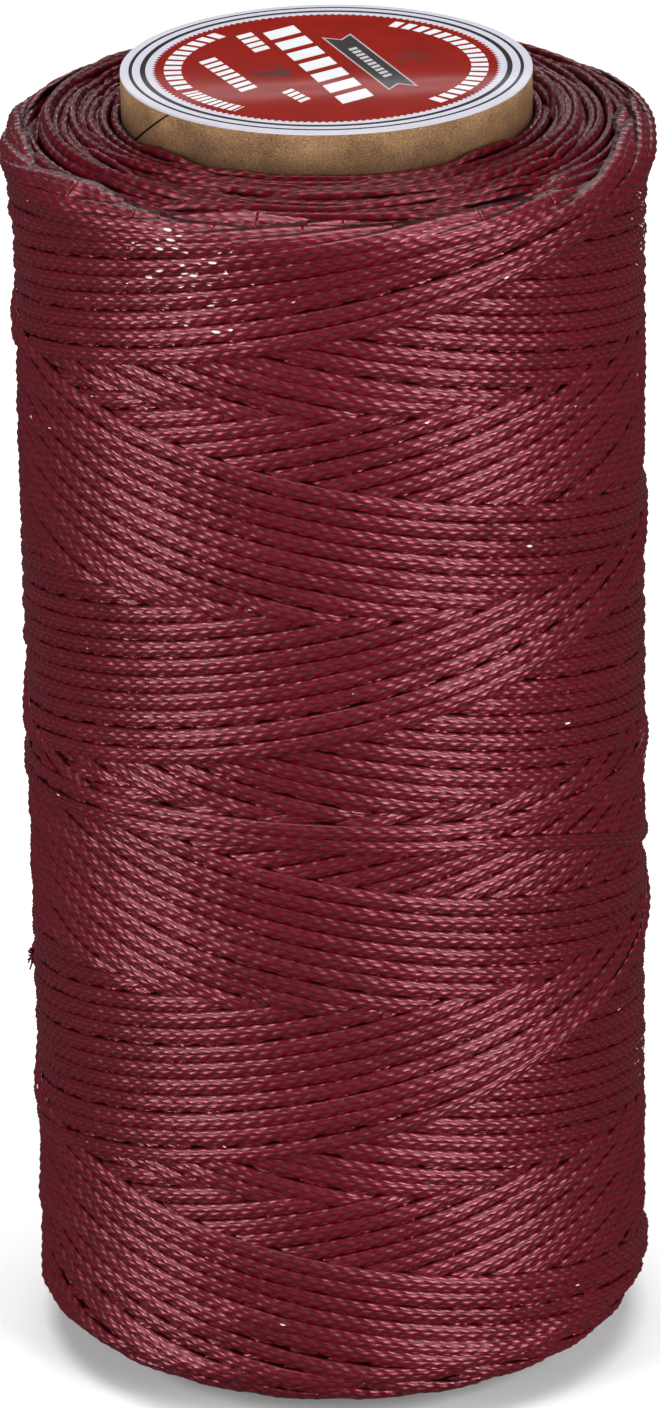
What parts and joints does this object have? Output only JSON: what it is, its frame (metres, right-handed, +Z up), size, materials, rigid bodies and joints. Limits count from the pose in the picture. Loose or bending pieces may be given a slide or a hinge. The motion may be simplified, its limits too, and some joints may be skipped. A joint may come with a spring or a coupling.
{
  "type": "waxed thread spool",
  "caption": "Cylindrical package of flat waxed sewing thread, cross-wound on a straight kraft paper tube that stands proud at both ends, with a round paper label closing the upper end.",
  "frame": {"origin": "centre of the tube's lower rim, which the spool stands on", "axes": "+Z up along the spool's axis, towards the labelled end; +Y away from the side where the thread's tail leaves the last turn"},
  "size_m": [0.056, 0.0559, 0.1167],
  "materials": {
    "kraft_tube": "matte",
    "label_paper": "gloss",
    "waxed_thread": "satin"
  },
  "bodies": {
    "root": {"tube_inner_ply": "kraft_tube", "tube_body_plies": "kraft_tube", "tube_outer_ply": "kraft_tube", "top_label": "label_paper", "thread_winding": "waxed_thread", "thread_last_turn": "waxed_thread"}
  },
  "joints": []
}
